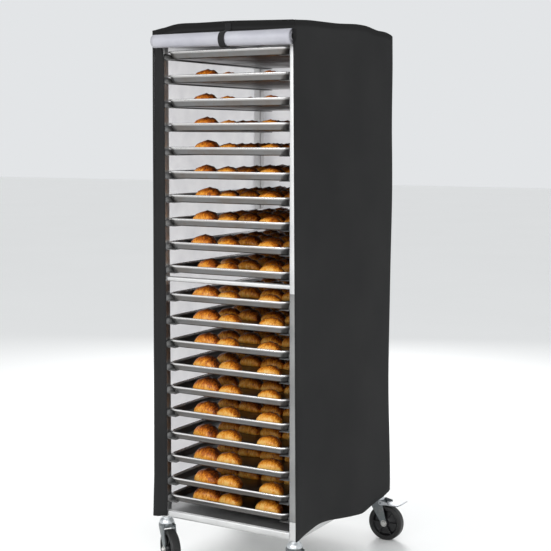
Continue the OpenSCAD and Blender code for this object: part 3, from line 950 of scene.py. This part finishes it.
for corner in CORNERS:
    middle, axis = joint_of(f"wheel_{corner}")
    tyre_low, tyre_high = box_of(f"tyre_{corner}")
    wheel_r = (tyre_high[2] - tyre_low[2]) / 2
    tyre = Shape().grid(turned(tyre_profile(wheel_r, TYRE_HALF), middle, axis, 72), wrap_cols=True)
    tyre.make(f"rubber_tyre_{corner}", f"wheel_{corner}", "black_rubber", [RUBBER], [f"tyre_{corner}"])
    core = Shape().grid(turned(core_profile(wheel_r - TYRE_THICK, TYRE_HALF), middle, axis, 48), wrap_cols=True)
    level = np.cross(axis, Z)
    for turn in np.arange(6) / 6 * math.tau:
        spoke = math.cos(turn) * level + math.sin(turn) * Z
        for s in (-1, 1):
            start = middle + spoke * RIB_ROOT + axis * s * 0.0085
            end = middle + spoke * (wheel_r - RIB_SHORT) + axis * s * 0.0075
            core.grid(carry(RIB_LOOP, start, end, np.cross(axis, spoke)), wrap_cols=True)
    core.make(f"wheel_core_{corner}", f"wheel_{corner}", "black_plastic", [PLASTIC], [f"hub_{corner}"])
    axle = Shape().grid(turned(SHANK, middle, axis, 24), wrap_cols=True)
    for s in (-1, 1):
        axle.grid(turned(WASHER * [1, s], middle, axis, 32), wrap_cols=True)
        axle.grid(turned(NUT * [1, s], middle, axis, 6), wrap_cols=True)
    axle.make(f"axle_bolt_{corner}", f"caster_{corner}", "bolt_steel", [BOLT], [f"axle_{corner}"], sharp=30)
    print(corner, "wheel radius", round(wheel_r, 4))

# %% [markdown]
# ## Shelf and hidden plugs
# The bottom shelf and the plugs keep their CAD meshes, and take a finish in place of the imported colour.

# %% Finishes on CAD nodes
for node, finish in (("base_shelf", TUBE_ACROSS), ("post_plugs", BOLT)):
    mesh = frame["nodes"][node].data
    mesh.materials.clear()
    mesh.materials.append(finish)
    print(node, "takes", finish.name)

# %% [markdown]
# ## What the pans carry
# The rack is shown at work, with small golden crescent rolls on nineteen pans. A roll is an oval section that
# shrinks to both ends, with ridges where the dough was wound, and it bends a little. About a hundred faces are
# enough. Each point carries how dark its crust is: darkest on top, where it is most browned, and darker at the back
# and the right end, which is painted shade. The first roll of each front row is larger and darker, and the rows
# behind are darker as painted shade.

# %% Crust
def bread_crust(name):
    """Egg-washed crust: each point's darkness, which holds its browning and some painted shade, broken up by
    patches and flakes, picks the brown.
    """
    f = Finish(name, Coat_Weight=0.2, Coat_Roughness=0.2, Specular_IOR_Level=0.3)
    bake = f.node("ShaderNodeAttribute", {"attribute_name": "bake"}, output="Fac")
    patch = f.noise(f.place(), 60.0, 4.0, 0.6)
    flakes = f.noise(f.place((1.6, 0.5, 0.45)), 210.0, 3.0, 0.65)
    done = (bake + (patch - 0.5) * 0.9 + (flakes - 0.5) * 1.5).limit()
    stops = [(0.0, (1.0, 0.60, 0.16)), (0.28, (0.95, 0.37, 0.030)), (0.60, (0.50, 0.12, 0.008)),
             (1.0, (0.07, 0.014, 0.003))]
    tone = f.node("ShaderNodeValToRGB", {"stops": stops}, done)
    return f.feed(Base_Color=tone, Roughness=0.34 + flakes * 0.25, Normal=f.bump(flakes + patch, 0.35, 0.0015))


CRUST = bread_crust("crust")
BUN_W, BUN_D, BUN_H = 0.093, 0.064, 0.035
FIRST_LARGER, FIRST_TALLER, DARKER = 0.14, 1.13, 0.28


def one_bun(rows=11, cols=12):
    """Grid of one crescent roll lying on z = 0, and how dark each point's crust is: browned on top, with painted
    shade at the back and the right end.

    Across x the section's size falls as the root of 1 - u^2, with small ridges along it, and the underside is
    cut flat.
    """
    u = np.linspace(-1, 1, rows)[:, None]
    v = np.linspace(0, math.tau, cols, endpoint=False)[None, :]
    ridge = np.cos(u * 4.2 * math.pi + 0.7)
    size = np.sqrt(np.clip(1 - u**2, 0, 1)) * (1 + 0.05 * ridge)
    x = u * BUN_W / 2 + 0 * v
    y = np.cos(v) * BUN_D / 2 * size + 0.010 * (1 - u**2) - 0.004
    z = np.clip(np.sin(v), -0.45, 1) * size * BUN_H * 0.69 + BUN_H * 0.31 * size
    # Darkest on top from browning; the u and cos v terms darken the right end and the back as painted shade.
    bake = 0.06 + 0.62 * np.clip(np.sin(v), 0, 1) ** 1.5 + 0.07 * ridge + 0.14 * u + 0.14 * np.cos(v)
    return np.stack([x, y, z], -1), np.broadcast_to(bake, (rows, cols))


bun, bun_bake_and_shade = one_bun()
FRONT_ROW = (-0.120, -0.036, 0.119)
OTHER_ROWS = (-0.1185, -0.0325, 0.0535, 0.1395)
ROWS_Y = np.array([-0.236, -0.108, -0.020, 0.068, 0.156, 0.240])
for name, (low, high) in list(zip(PANS, pan_boxes))[1:]:
    batch, bakes_and_shade = Shape(), []
    for k, y in enumerate(ROWS_Y):
        for i, x in enumerate(OTHER_ROWS if k else FRONT_ROW):
            draw = rng.normal(0, 1, 6)
            first = k == 0 and i == 0
            size = 1 + 0.03 * draw[0] + (FIRST_LARGER if first else 0.0)
            c, s = math.cos(0.14 * draw[1]) * size, math.sin(0.14 * draw[1]) * size
            spot = np.array([x + 0.003 * draw[2], y + 0.003 * draw[3], low[2] + SHEET])
            tall = size * (FIRST_TALLER if first else 1.0)
            batch.grid(bun @ np.array([[c, s, 0], [-s, c, 0], [0, 0, tall]]) + spot, wrap_cols=True)
            # The rows behind get painted shade, and the first front roll is made darker by the same amount.
            more = DARKER if k or first else 0.0
            bakes_and_shade.append(np.clip(bun_bake_and_shade + 0.05 * draw[4] + more, 0, 1).ravel())
    made = batch.make(f"rolls_on_{name}", name, None, [CRUST], sharp=80, bake=np.concatenate(bakes_and_shade))
print("rolls on a pan have", len(made.data.polygons), "faces")

# %% [markdown]
# ## Floor and light
# A plain pale floor and soft light from large lamps show the metals best: aluminium looks like what it
# reflects, so the surroundings are bright on all sides. The key lamp stands at the front right, a high and a low
# one stand before the open front, and one stands behind. Two weak panels inside the cover light its lining, and
# neither the camera nor a reflection shows them.

# %% Studio
def pale_floor(name):
    f = Finish(name)
    clouds = f.noise(f.place(), 0.8, 2.0)
    tone = f.mix(clouds, (0.90, 0.90, 0.89), (0.93, 0.93, 0.92))
    return f.feed(Base_Color=tone, Roughness=0.6 + clouds * 0.1)


FLOOR_HALF = 30.0
floor_mesh = bpy.data.meshes.new("floor")
floor_square = [(x * FLOOR_HALF, y * FLOOR_HALF, 0) for x, y in ((-1, -1), (1, -1), (1, 1), (-1, 1))]
floor_mesh.from_pydata(floor_square, [], [(0, 1, 2, 3)])
floor_mesh.materials.append(pale_floor("pale_floor"))
floor = bpy.data.objects.new("floor", floor_mesh)
bpy.context.scene.collection.objects.link(floor)

world = bpy.data.worlds.new("studio")
world.use_nodes = True
world.node_tree.nodes["Background"].inputs["Color"].default_value = (0.96, 0.98, 1.0, 1)
world.node_tree.nodes["Background"].inputs["Strength"].default_value = 0.8
bpy.context.scene.world = world
bpy.context.scene.view_settings.view_transform = "Standard"


def lamp(name, place, aim, size, watts, tall=None):
    """A lamp at place that faces aim: square, or a size x tall rectangle whose long side stays upright."""
    data = bpy.data.lights.new(name, "AREA")
    data.size, data.energy = size, watts
    if tall:
        data.shape, data.size_y = "RECTANGLE", tall
    made = bpy.data.objects.new(name, data)
    made.location = place
    way = np.array(aim, float) - np.array(place, float)
    made.rotation_euler = (math.atan2(math.hypot(way[0], way[1]), -way[2]), 0, math.atan2(-way[0], way[1]))
    bpy.context.scene.collection.objects.link(made)
    return made


lamp("key", (2.4, -3.4, 2.6), (0, 0, 0.9), 2.2, 40)
lamp("front", (-0.6, -4.0, 2.6), (0, 0, 0.95), 2.0, 70)
lamp("low_front", (0.5, -4.2, 0.5), (0, 0, 1.2), 1.0, 7)
lamp("back", (-1.6, 3.2, 2.4), (0, 0, 1.0), 1.4, 75)

LINING_GAP, BACK_GAP = 0.0015, 0.008
LIT_TALL, LIT_MIDDLE, LIT_WATTS = 1.52, 0.95, 3.0
for name, place, way, wide in (
    ("left_lining", (-post_high[0] - LINING_GAP, 0, LIT_MIDDLE), -X, 0.60),
    ("back_lining", (0, post_high[1] + BACK_GAP, LIT_MIDDLE), Y, 0.48),
):
    inside = lamp(name, place, np.array(place) + way, wide, LIT_WATTS * wide * LIT_TALL, LIT_TALL)
    inside.visible_camera = inside.visible_glossy = False
print("lamps", len(bpy.data.lights))
